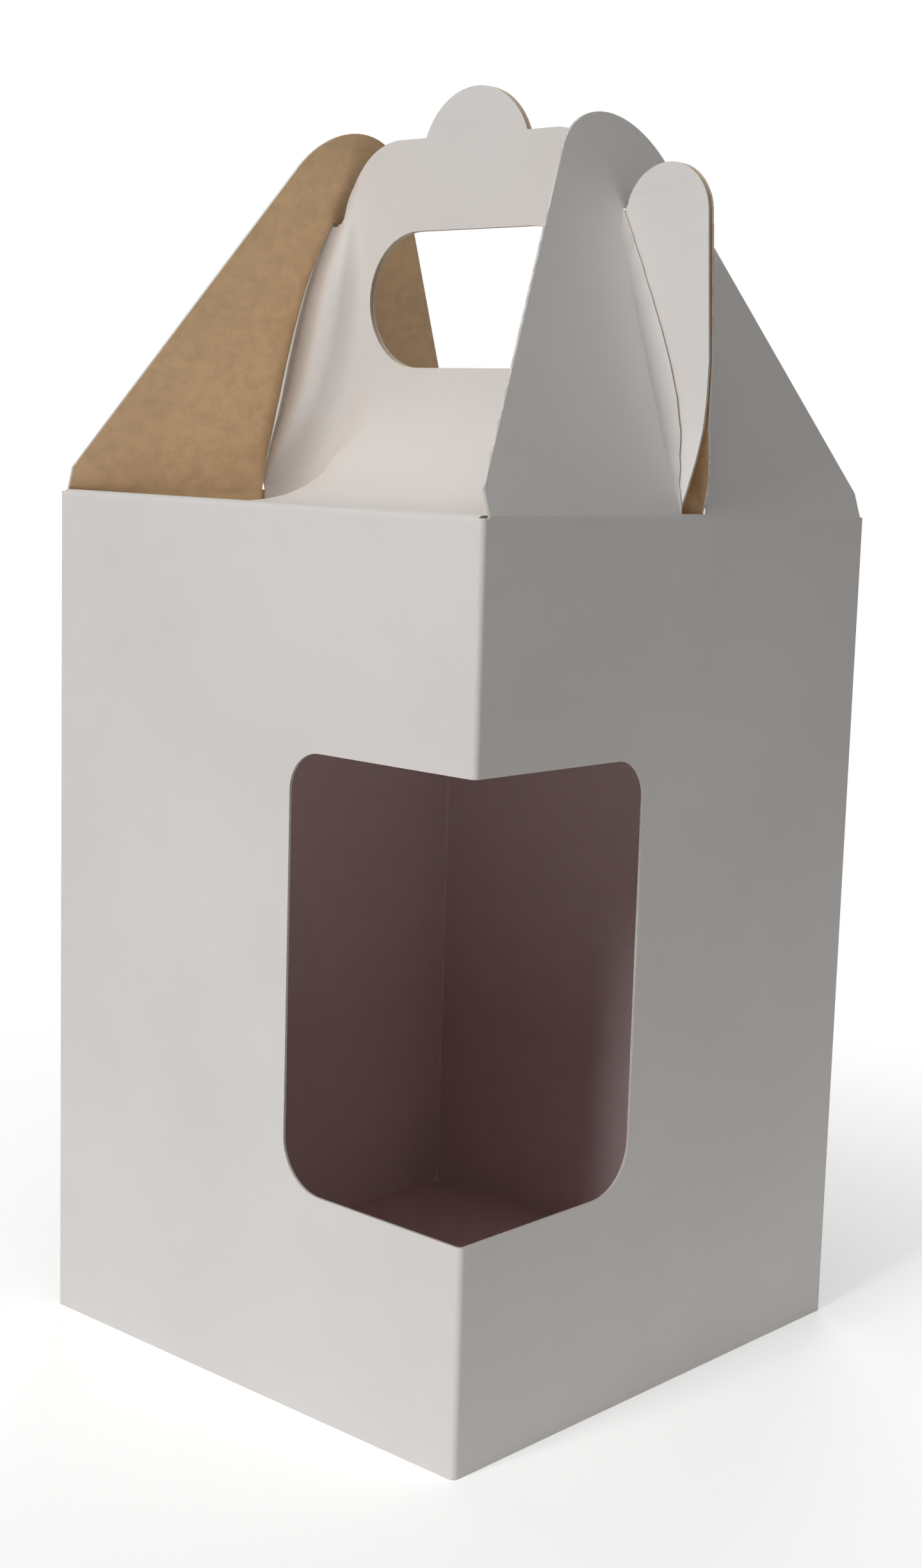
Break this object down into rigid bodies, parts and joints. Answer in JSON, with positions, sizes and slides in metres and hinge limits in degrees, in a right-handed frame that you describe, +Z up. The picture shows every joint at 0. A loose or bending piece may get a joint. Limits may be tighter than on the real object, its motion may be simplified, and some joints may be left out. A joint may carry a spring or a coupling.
{
  "type": "mug box",
  "caption": "Square gable-top carry carton for a mug, folded from one sheet, with a corner window, a handle with a hand-hole, and ears hooked through slots in the gables.",
  "frame": {"origin": "middle of the underside, on the surface the box stands on", "axes": "+Z up, X along the handle, -Y the front with the roof panel, window around the +X -Y corner"},
  "size_m": [0.1042, 0.1, 0.2188],
  "materials": {
    "board": "matt white coated paperboard outside, brown kraft inside"
  },
  "bodies": {
    "root": {"carton": "board"}
  },
  "joints": []
}
